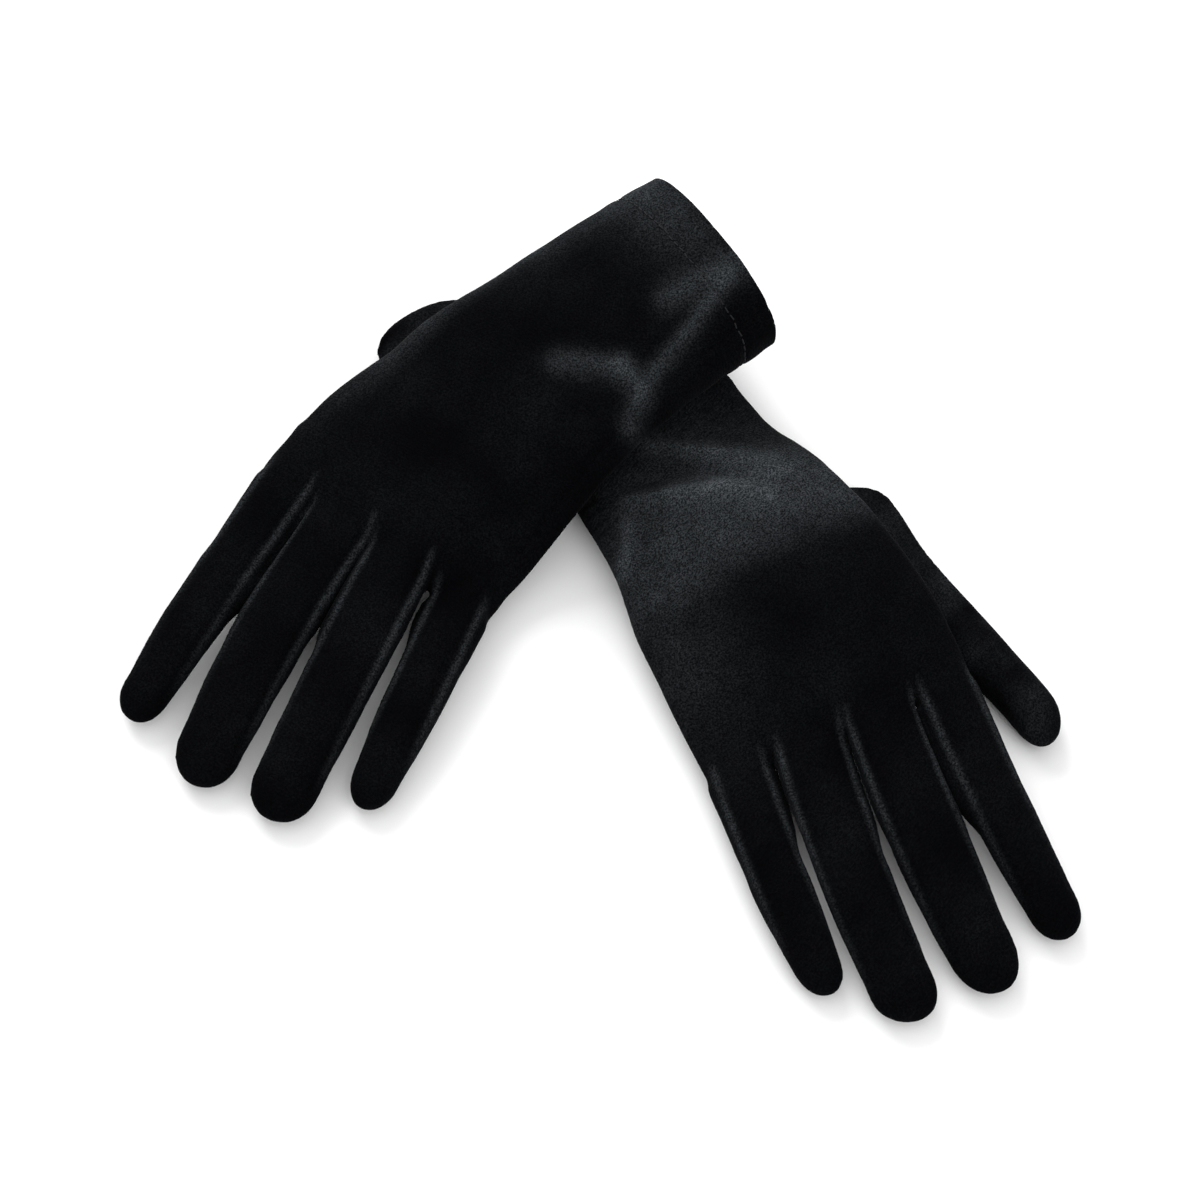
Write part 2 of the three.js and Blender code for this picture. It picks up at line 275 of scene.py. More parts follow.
class Pattern:
    """Maps (along, across) on a glove to the place where it lies, in metres."""

    def __init__(self, glove):
        self.glove = glove
        heading = math.radians(glove["heading"])
        turn = -math.radians(glove["bend"]) * glove["side"]
        reach = glove["bend_at"] * HAND_LENGTH
        start = np.array(glove["cuff"]) * MM
        corner = start + reach * np.array([math.cos(heading), math.sin(heading)])
        last = np.array([math.cos(heading + turn), math.sin(heading + turn)])
        end = corner + (HAND_LENGTH - reach) * last
        t = np.linspace(0, 1, LINE_STEPS)[:, None]
        line = (1 - t) ** 2 * start + 2 * t * (1 - t) * corner + t**2 * end
        first = (corner - start) / np.linalg.norm(corner - start)
        tail = np.linspace(1, LEAD_OUT, LEAD_OUT)[:, None] * MM
        self.line = np.concatenate([start - tail[:LEAD_IN][::-1] * first, line, end + tail * last])
        step = np.linalg.norm(np.diff(self.line, axis=0), axis=1)
        self.run = np.concatenate([[0], np.cumsum(step)])
        self.run -= self.run[LEAD_IN]
        self.tangent = np.gradient(self.line, axis=0)
        self.tangent /= np.linalg.norm(self.tangent, axis=1)[:, None]
        self.ahead_at_cuff = self.tangent[LEAD_IN]

    def place(self, along, across):
        x = np.interp(along, self.run, self.line[:, 0])
        y = np.interp(along, self.run, self.line[:, 1])
        tx = np.interp(along, self.run, self.tangent[:, 0])
        ty = np.interp(along, self.run, self.tangent[:, 1])
        offset = across * self.glove["side"]
        return x - offset * ty, y + offset * tx

    def locate(self, co):
        """(along, across) of points in the frame."""
        along = np.empty(len(co))
        across = np.empty(len(co))
        for first in range(0, len(co), BATCH):
            batch = slice(first, first + BATCH)
            part = co[batch, :2]
            nearest = ((part[:, None, :] - self.line[None]) ** 2).sum(2).argmin(1)
            offset = part - self.line[nearest]
            tangent = self.tangent[nearest]
            along[batch] = self.run[nearest] + (offset * tangent).sum(1)
            side = tangent[:, 0] * offset[:, 1] - tangent[:, 1] * offset[:, 0]
            across[batch] = side * self.glove["side"]
        return along, across

    def lift(self, along, across):
        """How high the underside of the hand lies, over its thumb or over the other glove."""
        glove = self.glove
        a, c = along / MM, across / MM
        thumb = THUMB_LIFT * smooth(a, *THUMB_LIFT_ALONG) * smooth(c, *glove["lift_band"])
        crossing = glove["crossing"] * (1 - smooth(a, *CROSSING_ENDS))
        return np.maximum(thumb, crossing) * MM


def finger_frame(side_name, finger):
    """Pivot of a finger, and its direction and sideways direction on the ground, from its joint."""
    joint = JOINTS[f"{side_name}_{finger}_lift"]
    axis = np.array(joint["axis"])
    return np.array(joint["pos_m"]), np.array([-axis[1], axis[0], 0]), axis


def thumb_frame(side_name):
    """The same for a thumb: it points from its joint to the middle of its box."""
    pivot = np.array(JOINTS[f"{side_name}_thumb_swing"]["pos_m"])
    low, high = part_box(f"{side_name}_thumb")
    ahead = (np.array(low) + np.array(high)) / 2 - pivot
    ahead[2] = 0
    ahead /= np.linalg.norm(ahead)
    return pivot, ahead, np.array([-ahead[1], ahead[0], 0])


def laid_out(pivot, ahead, sideways, along, offset, z):
    flat = pivot[None, :2] + along[:, None] * ahead[None, :2] + offset[:, None] * sideways[None, :2]
    return np.concatenate([flat, z[:, None]], 1)


def hand_form(side_name, pattern):
    glove = pattern.glove
    obj = closed_tube(f"{side_name}_hand_form", **HAND_TUBE)

    def place(share, angle, radius):
        along = HAND_START + share * (HAND_LENGTH + HAND_EXTRA)
        wide, high = superoval(angle, HAND_SQUARENESS)
        t = along / HAND_LENGTH
        width = np.where(wide > 0, stations(glove["thumb_side"], t), stations(glove["finger_side"], t)) * MM
        height = stations(glove["height"], t) * MM
        end = np.sqrt(np.clip(1 - smooth(along, *HAND_CLOSES) ** 2, HAND_END, 1))
        across = wide * width * radius
        x, y = pattern.place(along, across)
        z = pattern.lift(along, across) + height + high * height * radius * end
        return np.stack([x, y, z], 1)

    draw_out(obj, place)
    return obj


def finger_width(side_name, finger, along):
    """Half width of a finger: fullest at its root, slimmer towards its tip."""
    t = np.clip(along / (FINGERS[side_name][finger][0] * MM), 0, 1)
    taper = FINGER_TAPER[finger] * smooth(t, *FINGER_TAPERS)
    return FINGER_HALF_WIDTH[finger] * MM * (FINGER_ROOT - FINGER_WAIST * smooth(t, 0, 0.45) - taper)


def finger_height(t):
    """Half height of a finger, by the share of its length."""
    return (FINGER_ROOT_HEIGHT - FINGER_ROOT_FALL * smooth(t, 0.0, 0.3) - FINGER_FALL * t) * MM


def finger_curve(side_name, finger, along):
    """How far a finger's middle line curves to the side."""
    length, middle, tip = [value * MM for value in FINGERS[side_name][finger]]
    t = np.clip(along / length, 0, 1)
    return (4 * middle * t * (1 - t) + tip * t**2) * -GLOVES[side_name]["side"]


def finger_form(side_name, finger):
    pivot, ahead, sideways = finger_frame(side_name, finger)
    length = FINGERS[side_name][finger][0] * MM
    tip_length = FINGER_TIP_LENGTH * (SLIM * FINGER_HALF_WIDTH[finger] * MM)
    slope = (pivot[2] - FINGER_TIP_HEIGHT) / length
    obj = closed_tube(f"{side_name}_{finger}_form", **FINGER_TUBE)

    def place(share, angle, radius):
        s = np.sin(share * math.pi / 2)
        along = -FINGER_HIDDEN + s * (length + FINGER_HIDDEN)
        wide, high = superoval(angle, LIMB_SQUARENESS)
        t = np.clip(along / length, 0, 1)
        round_end = rounded(1 - (length - along) / tip_length, TIP_SQUARENESS)
        width = SLIM * finger_width(side_name, finger, along)
        offset = wide * width * radius * round_end + finger_curve(side_name, finger, along)
        centre = pivot[2] - slope * np.maximum(along, 0) + FINGER_ARCH * np.sin(math.pi * t)
        z = np.maximum(centre + high * finger_height(t) * radius * round_end, FINGER_FLOOR)
        return laid_out(pivot, ahead, sideways, along, offset, z)

    draw_out(obj, place)
    return obj


def thumb_form(side_name, glove):
    pivot, ahead, sideways = thumb_frame(side_name)
    spec = glove["thumb"]
    length = spec["length"] * MM
    hidden = spec["back"] * MM
    near, far = spec["drift"]
    bulge, bulge_at = spec["bulge"]
    obj = closed_tube(f"{side_name}_thumb", **THUMB_TUBE)

    def place(share, angle, radius):
        s = 0.5 - 0.5 * np.cos(share * math.pi)
        along = -hidden + s * (length + hidden)
        wide, high = superoval(angle, LIMB_SQUARENESS)
        t = np.clip(along / length, 0, 1)
        back = rounded(-along / hidden, 2)
        front = rounded(1 - (length - along) / THUMB_TIP_LENGTH, TIP_SQUARENESS)
        width = (spec["root"] + (spec["tip"] - spec["root"]) * smooth(t, *THUMB_TAPERS)) * MM
        grown = THUMB_ROOT_HEIGHT + THUMB_RISE * smooth(t, *THUMB_RISES)
        height = np.minimum(spec["height"], grown) * MM
        outward = (near + (far - near) * t + 4 * spec["bow"] * t * (1 - t)) * MM * glove["side"]
        swell = bump(along, bulge_at * MM, THUMB_BULGE_LENGTH) * (wide * glove["side"] > 0)
        width = width + bulge * MM * swell
        offset = wide * width * radius * back * front + outward
        z = height + high * height * radius * back * front
        return laid_out(pivot, ahead, sideways, along, offset, z)

    draw_out(obj, place)
    return obj


def skin(parts, name):
    """Joins forms into one skin of even faces."""
    obj = join(parts)
    give_name(obj, name)
    apply_modifier(obj, "REMESH", mode="VOXEL", voxel_size=VOXEL, adaptivity=0)
    apply_modifier(obj, "SMOOTH", **SKIN_SMOOTHING)
    return obj


def finger_places(co, side_name, finger):
    """(distance from the knuckle, distance from the finger's curved middle line) of each point."""
    pivot, ahead, sideways = finger_frame(side_name, finger)
    along = (co - pivot) @ ahead
    return along, (co - pivot) @ sideways - finger_curve(side_name, finger, along)


def nearest_finger(co, side_name):
    """Which finger each point belongs to, and its distances from all four middle lines."""
    distance = np.stack([np.abs(finger_places(co, side_name, finger)[1]) for finger in FINGER_NAMES])
    return distance.argmin(0), distance


def pressed_width(side_name, places, index):
    """Half width of a finger at each point when it lies against its neighbours, and the furthest
    that the point may be from the finger's middle line."""
    along, lateral = places[index]
    wanted = finger_width(side_name, FINGER_NAMES[index], along)
    limit = np.full(len(along), NO_LIMIT)
    for other in {index - 1, index + 1} & set(range(len(FINGER_NAMES))):
        towards = lateral - places[other][1]
        reach = np.abs(towards) / 2 + PRESS * MM
        facing = lateral * towards > 0
        gap = GAPS[side_name][min(index, other)] * MM
        closed = 1 - smooth(along, gap - GAP_START, gap + GAP_END)
        pressed = np.minimum(wanted + closed * np.maximum(reach - wanted, 0), reach)
        wanted = np.where(facing, pressed, wanted)
        limit = np.where(facing, reach, limit)
    return wanted, limit


def press_fingers(obj, side_name):
    """Fills the fingers out to their true width, pressed together up to where each gap opens."""
    co = points(obj)
    owner, _ = nearest_finger(co, side_name)
    places = [finger_places(co, side_name, finger) for finger in FINGER_NAMES]
    for index, finger in enumerate(FINGER_NAMES):
        _, _, sideways = finger_frame(side_name, finger)
        along, lateral = places[index]
        wanted, limit = pressed_width(side_name, places, index)
        formed = SLIM * finger_width(side_name, finger, along)
        filled = np.minimum(np.abs(lateral) * wanted / formed, limit) - np.abs(lateral)
        mine = smooth(along, *PRESS_START) * (owner == index)
        co += (np.sign(lateral) * filled * mine)[:, None] * sideways
    set_points(obj, co)


# ---------------------------------------------------------------- folds, seams and pile


OCTAVES = 3  # each octave of a ripple is finer and lower than the one before
FINER = 1.7
LOWER = 0.6
WAVES = 6  # crossing waves in an octave
RIPPLE_HEIGHT = 5.0  # about the greatest height that the crossing waves add up to


def ripple(co, size, seed):
    """Smooth seeded noise between about -1 and 1, made of crossing waves."""
    rng = np.random.default_rng(seed)
    total = np.zeros(len(co))
    for octave in range(OCTAVES):
        for _ in range(WAVES):
            direction = rng.normal(size=3)
            direction /= np.linalg.norm(direction)
            phase = rng.uniform(0, 2 * math.pi)
            wave = np.sin(co @ direction * 2 * math.pi / (size / FINER**octave) + phase)
            total += wave * LOWER**octave
    return total / RIPPLE_HEIGHT


def segment_distance(co, a, b):
    """Distance on the ground from the line a-b, and the share along it."""
    a, b = np.array(a) * MM, np.array(b) * MM
    d = b - a
    t = np.clip(((co[:, :2] - a) @ d) / (d @ d), 0, 1)
    return np.linalg.norm(co[:, :2] - (a + t[:, None] * d), axis=1), t


# Soft folds in the upper cloth: both ends on the ground, width, and height or (negative) depth, in mm.
FOLDS = {
    "right": (
        ((14, 54), (34, 49), 2.6, 2.6),
        ((34, 49), (52, 39), 4.0, 1.6),
        ((20, 46), (44, 36), 3.4, -1.6),
        ((8, 34), (34, 33), 2.6, 2.2),
        ((34, 33), (48, 28), 3.6, 1.0),
        ((6, 28), (26, 26), 2.6, -1.5),
        ((8, 26), (7, 10), 2.2, 2.2),
        ((12, 24), (12, 8), 2.4, -1.2),
        ((4, 38), (24, 42), 3.0, -1.6),
    ),
    "left": (
        ((-12, 66), (6, 63), 3.2, 1.8),
        ((6, 63), (12, 57), 2.6, 2.4),
        ((12, 57), (9, 47), 2.6, 2.2),
        ((-10, 60), (4, 56), 3.2, -1.6),
        ((-18, 48), (2, 50), 3.0, -1.4),
        ((34, 88), (14, 64), 2.4, -1.4),
        ((38, 90), (16, 62), 2.2, 1.0),
        ((20, 84), (44, 96), 3.5, 0.8),
        ((-46, 98), (-20, 110), 3.2, 1.2),
    ),
}
FOLD_SHARE = 0.75  # the cloth takes up this share of a fold's height
UPPER = (0.1, 0.6)  # cloth counts as upper cloth from none to fully as it turns to face up this much
# The unevenness of worn velvet: height in mm, length of its waves in mm, and its seed.
HAND_WAVES = (0.35, 46, 3)
HAND_RIPPLES = (0.10, 15, 8)
FINGER_RIPPLES = (0.15, 22, 11)
SMOOTH_CUFF = (-5, 12)  # the cuff has none of the waves up to here, and then all of them, in mm
# Relief beside the stitched line of the hem: height or (negative) depth, place and width, in mm.
HEM_GROOVE = (-0.55, 0, 0.9)
HEM_ROLLS = ((0.25, -4, 3.5), (0.2, 3.5, 2.5))
HEM_PUCKER = (0.12, 0, 3)
HEM_PUCKERING = 2.4  # in radians for each mm along the line
SEAM_INSET = 4.5  # the side seam lies this far in from the hand's edge, in mm
SEAM_END = 6  # it fades out over this far on both sides of the knuckles, in mm
SEAM_DEPTH = 0.8  # in mm, as are the next five
SEAM_WIDTH = 0.9
FINGER_SEAM_INSET = 2.6  # from the edge of the finger
FINGER_SEAM_DEPTH = 0.55
FINGER_SEAM_WIDTH = 0.8
SEAM_ROOM = 1.2  # cloth this far outside a finger's half width still belongs to its seams
FLOOR_GAP = 0.15 * MM  # no cloth lies lower than this


def relief(x, height, place, width):
    return height * MM * bump(x, place, width)


def add_folds(rise, co, upper, side_name):
    for start, end, width, height in FOLDS[side_name]:
        distance, t = segment_distance(co, start, end)
        taper = np.sin(math.pi * np.clip(0.15 + 0.7 * t, 0, 1))
        rise += upper * taper * FOLD_SHARE * height * MM * bump(distance, 0, width * MM)


def add_hem_line(rise, a, c):
    """The stitched line of the hem: a groove, a soft roll on both sides of it, and small puckers."""
    from_line = a - HEM_DEPTH / MM
    rise += relief(from_line, *HEM_GROOVE)
    rise += sum(relief(from_line, *roll) for roll in HEM_ROLLS)
    rise += relief(from_line, *HEM_PUCKER) * np.sin(c * HEM_PUCKERING)


def add_side_seam(rise, upper, a, c, edge):
    """The side seam, rolled a little onto the back on the little finger's side."""
    from_seam = c + edge - SEAM_INSET
    knuckles = HAND_LENGTH / MM
    on_hand = smooth(-a, -knuckles - SEAM_END, -knuckles + SEAM_END)
    pucker = 0.35 * np.sin(a * 1.7) + 0.25 * np.sin(a * 0.61 + 1)
    groove = SEAM_DEPTH * bump(from_seam, 0, SEAM_WIDTH)
    rise += upper * on_hand * MM * (pucker * bump(from_seam, -1.5, 3.0) - groove)


def add_finger_seams(rise, co, upper, side_name, finger):
    """The two seams along a finger's back, with their puckers, and a soft unevenness between them."""
    t, lateral = [value / MM for value in finger_places(co, side_name, finger)]
    half = FINGER_HALF_WIDTH[finger]
    mine = smooth(t, -2, 8) * (np.abs(lateral) < half + SEAM_ROOM)
    mine = mine * smooth(FINGERS[side_name][finger][0] - t, 4, 14)
    puckers = 0.3 * np.sin(t * 1.9 + half) + 0.2 * np.sin(t * 0.7)
    for side in (-1, 1):
        from_seam = lateral * side - (half - FINGER_SEAM_INSET)
        groove = FINGER_SEAM_DEPTH * bump(from_seam, 0, FINGER_SEAM_WIDTH)
        rise += upper * mine * MM * (puckers * 0.5 * bump(from_seam, -1.0, 2.0) - groove)
    height, length, seed = FINGER_RIPPLES
    rise += upper * mine * height * MM * ripple(co, length * MM, seed + len(finger))


def shape_skin(obj, side_name, pattern):
    """Adds the folds, the sewn lines and the soft unevenness of worn velvet."""
    co = points(obj)
    nv = normals(obj)
    along, across = pattern.locate(co)
    a, c = along / MM, across / MM
    upper = smooth(nv[:, 2], *UPPER)
    height, length, seed = HAND_WAVES
    rise = height * ripple(co, length * MM, seed) * MM * smooth(a, *SMOOTH_CUFF)
    height, length, seed = HAND_RIPPLES
    rise += height * ripple(co, length * MM, seed) * MM
    add_folds(rise, co, upper, side_name)
    add_hem_line(rise, a, c)
    add_side_seam(rise, upper, a, c, stations(pattern.glove["finger_side"], along / HAND_LENGTH))
    for finger in FINGER_NAMES:
        add_finger_seams(rise, co, upper, side_name, finger)
    co = co + nv * rise[:, None]
    co[:, 2] = np.maximum(co[:, 2], FLOOR_GAP)
    set_points(obj, co)


def cut_square(obj, pattern, along, keep_beyond):
    """Cuts across a glove's wrist, and takes off one side of the cut."""
    x, y = pattern.place(along - CUT_BACK, 0.0)
    ahead = pattern.ahead_at_cuff
    only(obj)
    bpy.ops.object.mode_set(mode="EDIT")
    bpy.ops.mesh.select_all(action="SELECT")
    bpy.ops.mesh.bisect(
        plane_co=(float(x), float(y), 0), plane_no=(float(ahead[0]), float(ahead[1]), 0),
        clear_inner=keep_beyond, clear_outer=not keep_beyond,
    )
    bpy.ops.object.mode_set(mode="OBJECT")


def copy_of(obj, name):
    copied = obj.copy()
    copied.data = obj.data.copy()
    give_name(copied, name)
    bpy.context.scene.collection.objects.link(copied)
    return copied


def turned_in_hem(body, side_name, pattern):
    """The cloth turned in at the cuff: a copy of the skin's first band, drawn inside it."""
    hem = copy_of(body, f"{side_name}_hem_velvet")
    cut_square(hem, pattern, HEM_DEPTH, False)
    set_points(hem, points(hem) - normals(hem) * (CLOTH + HEM_GAP))
    apply_modifier(hem, "SOLIDIFY", thickness=HEM_CLOTH, offset=-1)
    return hem


STITCH_BAND = 0.9 * MM  # the skin this near to the stitched line gives the line its height
STITCH_RADIUS = 0.26 * MM
STITCH_LENGTH = 1.9 * MM
STITCH_BEVEL = 0.12 * MM
STITCH_PITCH = 2.7 * MM
STITCH_PROUD = 0.1 * MM  # how far the middle of a stitch stands out of the groove
LOOP_STEPS = 721
LOOP_WINDOW = 9  # steps that are averaged to even out the loop


def stitched_loop(body, pattern):
    """The line round the cuff that the stitches follow, and its centre."""
    co = points(body)
    along, _ = pattern.locate(co)
    ring = co[np.abs(along - HEM_DEPTH) < STITCH_BAND]
    centre = ring.mean(0)
    across = np.array([-pattern.ahead_at_cuff[1], pattern.ahead_at_cuff[0], 0])
    angle = np.arctan2(ring[:, 2] - centre[2], (ring - centre) @ across)
    ring = ring[np.argsort(angle)]
    angle = np.sort(angle)
    fine = np.linspace(-math.pi, math.pi, LOOP_STEPS)
    loop = np.stack([np.interp(fine, angle, ring[:, i], period=2 * math.pi) for i in range(3)], 1)
    half = LOOP_WINDOW // 2
    ends = np.concatenate([loop[-half - 1 : -1], loop, loop[1 : half + 1]])
    kernel = np.ones(LOOP_WINDOW) / LOOP_WINDOW
    return np.stack([np.convolve(ends[:, i], kernel, "valid") for i in range(3)], 1), centre


def hem_stitches(body, side_name, pattern):
    """A row of machine stitches through the hem, each a small rounded bar."""
    loop, centre = stitched_loop(body, pattern)
    run = np.concatenate([[0], np.cumsum(np.linalg.norm(np.diff(loop, axis=0), axis=1))])
    count = int(run[-1] / STITCH_PITCH)
    ahead = np.append(pattern.ahead_at_cuff, 0)

    def at(step):
        return np.array([np.interp(run[-1] * step / count, run, loop[:, i]) for i in range(3)])

    bpy.ops.object.select_all(action="DESELECT")
    bpy.ops.mesh.primitive_cylinder_add(vertices=8, radius=STITCH_RADIUS, depth=STITCH_LENGTH)
    stitch = bpy.context.active_object
    apply_modifier(stitch, "BEVEL", width=STITCH_BEVEL, segments=2)
    made = []
    for i in range(count):
        here = at(i + 0.5)
        turn = Vector(at(i + 0.9) - here).to_track_quat("Z", "Y").to_matrix().to_4x4()
        one = copy_of(stitch, f"stitch_{i}")
        one.data.transform(turn)
        out = here - centre
        out -= (out @ ahead) * ahead
        place = here + out / np.linalg.norm(out) * STITCH_PROUD
        one.data.transform(Matrix.Translation(Vector(place)))
        made.append(one)
    bpy.data.objects.remove(stitch)
    row = join(made)
    give_name(row, f"{side_name}_hem_stitches")
    return row


# Painted sheen: how pale the pile is painted where it catches the light, from 0 to 1, and how far that
# varies over how many mm.
HAND_PAINTED_SHEEN = (0.015, 0.01, 38)
THUMB_PAINTED_SHEEN = (0.05, 0.05, 24)
HAND_SHEEN_SEED = 5
THUMB_SHEEN_SEED = 4
# painted highlight along the ridges of the folds that stand up
FOLD_HIGHLIGHT = 0.16
FOLD_HIGHLIGHT_WIDTH = 1.3  # in widths of the fold
# painted highlight along a finger's edges, where its rim catches the light
EDGE_HIGHLIGHT = 0.16
EDGE_INSET = 1.6  # the pale line lies this far in from a finger's edge, in mm
EDGE_WIDTH = 0.9  # in mm
EDGE_FADES = (20, 60)  # it loses 0.6 of its paleness over this stretch beyond the knuckle, in mm


def uneven_painted_sheen(co, level, spread, length, seed):
    return level + spread * ripple(co, length * MM, seed)


def store_painted_sheen(obj, painted_sheen):
    """Stores the painted sheen: how pale the pile is painted where it catches the light, 0 dark, 1 pale."""
    attribute = obj.data.attributes.new("painted_sheen", "FLOAT", "POINT")
    attribute.data.foreach_set("value", np.clip(painted_sheen, 0, 1).astype(np.float32))


def paint_hand_highlights(painted_sheen, side_name, a, c):
    """Painted highlights on a hand, pale areas where it catches the light, by place along and across it in
    mm.
    """
    if side_name == "right":
        painted_sheen += 0.15 * bump(a, 40, 28) * bump(c, 4, 30) + 0.12 * smooth(-a, -86, -70) * smooth(a, 30, 60)
        painted_sheen += 0.10 * bump(a, 66, 12) * smooth(c, 5, 40) + 0.07 * bump(a, 100, 26) * smooth(-c, 4, 36)
    else:
        painted_sheen += 0.15 * bump(a, 6, 12) * smooth(c, -30, 26) + 0.12 * bump(c, 32, 8) * smooth(-a, -60, -20)
        painted_sheen += 0.22 * bump(a, 70, 34) * smooth(c, 28, 44)


def paint_finger_highlights(painted_sheen, co, side_name, finger):
    """Painted highlights: pale lines along both edges of a finger, where its rim catches the light."""
    t, lateral = [value / MM for value in finger_places(co, side_name, finger)]
    half = FINGER_HALF_WIDTH[finger]
    mine = smooth(t, -4, 4) * smooth(FINGERS[side_name][finger][0] - t, 8, 24)
    for side in (-1, 1):
        edge = EDGE_HIGHLIGHT * mine * bump(lateral * side, half - EDGE_INSET, EDGE_WIDTH)
        painted_sheen += edge * (1 - smooth(t, *EDGE_FADES) * 0.6)


def add_painted_sheen(obj, side_name, pattern):
    """Paints highlights into the pile's colour over a hand and its fingers, and along the folds that stand
    up.
    """
    co = points(obj)
    along, across = pattern.locate(co)
    painted_sheen = uneven_painted_sheen(co, *HAND_PAINTED_SHEEN, HAND_SHEEN_SEED)
    paint_hand_highlights(painted_sheen, side_name, along / MM, across / MM)
    # painted highlights along the ridges of the folds that stand up
    for start, end, width, height in FOLDS[side_name]:
        if height > 0:
            distance, _ = segment_distance(co, start, end)
            painted_sheen += FOLD_HIGHLIGHT * bump(distance, 0, width * FOLD_HIGHLIGHT_WIDTH * MM)
    for finger in FINGER_NAMES:
        paint_finger_highlights(painted_sheen, co, side_name, finger)
    store_painted_sheen(obj, painted_sheen)


# ---------------------------------------------------------------- materials

VELVET_DARK = "#030304"
# the pale colour below is painted highlight, mixed into the near-black pile where it catches the light
VELVET_HIGHLIGHT = "#6E7479"
SHEEN_TINT = "#888B93"
SHEEN = 0.045
SHEEN_ROUGHNESS = 0.32
VELVET_SHINE = 0.008
VELVET_ROUGHNESS = 0.92
PILE_SCALE = 1900.0  # specks in a metre of pile
CLOUD_SCALE = 160.0  # patches of painted sheen in a metre
RIB_SCALE = 330.0  # sets the spacing of the rows of the knit
RIB_SHARE = 0.5  # height of the rows, as a share of the pile's
RELIEF_DEPTH = 0.4 * MM
RELIEF_STRENGTH = 0.45
SPECK_RANGE = (0.42, 0.66)  # pile noise below the first has no speck, and above the second a full one
SPECK_LEVEL = (1.3, 0.15)  # a speck's gain, and what is left between specks
PATCH_LEVEL = (0.9, 0.35)  # the same for the patches of painted sheen
THREAD_DARK = "#0B0B0D"
THREAD_PALE = "#1B1C1F"
THREAD_TWIST = 900.0  # sets the spacing of its turns
THREAD_ROUGHNESS = 0.6
THREAD_SHINE = 0.15
MIX_FIRST = 6  # a colour mix takes its two colours at these inputs
MIX_SECOND = 7
MIX_RESULT = 2


def hex_colour(code):
    """An sRGB hex code as the linear colour a shader takes."""
    channels = [int(code[i : i + 2], 16) / 255 for i in (1, 3, 5)]
    return tuple(c / 12.92 if c <= 0.04045 else ((c + 0.055) / 1.055) ** 2.4 for c in channels) + (1.0,)


def new_material(name):
    material = bpy.data.materials.new(name)
    material.use_nodes = True
    return material, material.node_tree


def node(tree, kind, inputs=(), **settings):
    made = tree.nodes.new(kind)
    for key, value in settings.items():
        setattr(made, key, value)
    for key, value in dict(inputs).items():
        if isinstance(value, bpy.types.NodeSocket):
            tree.links.new(value, made.inputs[key])
        else:
            made.inputs[key].default_value = value
    return made


def maths(tree, operation, *values):
    made = node(tree, "ShaderNodeMath", dict(enumerate(values)), operation=operation)
    return made.outputs[0]


def colour_mix(tree, share, first, second):
    colours = {0: share, MIX_FIRST: hex_colour(first), MIX_SECOND: hex_colour(second)}
    return node(tree, "ShaderNodeMix", colours, data_type="RGBA").outputs[MIX_RESULT]


def noise(tree, place, scale, detail, roughness):
    made = node(
        tree, "ShaderNodeTexNoise",
        {"Vector": place, "Scale": scale, "Detail": detail, "Roughness": roughness},
    )
    return made.outputs["Fac"]


def pile_colour_and_painted_sheen(tree, place, pile):
    """Near black, with painted highlights: going pale in specks where the pile is painted as catching the
    light.
    """
    painted_sheen = node(tree, "ShaderNodeAttribute", attribute_name="painted_sheen").outputs["Fac"]
    cloud = noise(tree, place, CLOUD_SCALE, 4.0, 0.6)
    speck = node(
        tree, "ShaderNodeMapRange",
        {"Value": pile, "From Min": SPECK_RANGE[0], "From Max": SPECK_RANGE[1]},
    )
    # painted highlights: the stored painted sheen, broken into patches and specks, mixes the pile's colour
    # towards the pale highlight colour
    sheen_patches = maths(tree, "MULTIPLY_ADD", cloud, *PATCH_LEVEL)
    patchy_sheen = maths(tree, "MULTIPLY", painted_sheen, sheen_patches)
    specked = maths(tree, "MULTIPLY_ADD", speck.outputs[0], *SPECK_LEVEL)
    return colour_mix(tree, maths(tree, "MULTIPLY", patchy_sheen, specked), VELVET_DARK, VELVET_HIGHLIGHT)


def pile_relief(tree, place, pile, ribs):
    """The pile's grain, with the rows of the knit just showing through it."""
    turned = node(tree, "ShaderNodeMapping", {"Vector": place, "Rotation": (0, 0, math.radians(ribs))})
    rows = node(tree, "ShaderNodeTexWave", {
        "Vector": turned.outputs["Vector"], "Scale": RIB_SCALE, "Distortion": 1.2,
        "Detail": 1.0, "Detail Scale": 2.0,
    })
    heights = maths(tree, "MULTIPLY_ADD", rows.outputs["Fac"], RIB_SHARE, pile)
    bumps = {"Height": heights, "Strength": RELIEF_STRENGTH, "Distance": RELIEF_DEPTH}
    return node(tree, "ShaderNodeBump", bumps).outputs["Normal"]


def velvet_material(name, ribs):
    """Black stretch velvet: pile that is near black face on and catches light at its edges. Ribs is
    the direction of the rows of the knit, in degrees."""
    material, tree = new_material(name)
    tree.nodes.clear()
    place = node(tree, "ShaderNodeTexCoord").outputs["Object"]
    pile = noise(tree, place, PILE_SCALE, 3.0, 0.7)
    shader = node(tree, "ShaderNodeBsdfPrincipled", {
        "Base Color": pile_colour_and_painted_sheen(tree, place, pile),
        "Normal": pile_relief(tree, place, pile, ribs),
        "Roughness": VELVET_ROUGHNESS,
        "Specular IOR Level": VELVET_SHINE,
        "Sheen Weight": SHEEN,
        "Sheen Roughness": SHEEN_ROUGHNESS,
        "Sheen Tint": hex_colour(SHEEN_TINT),
    })
    node(tree, "ShaderNodeOutputMaterial", {"Surface": shader.outputs["BSDF"]})
    return material


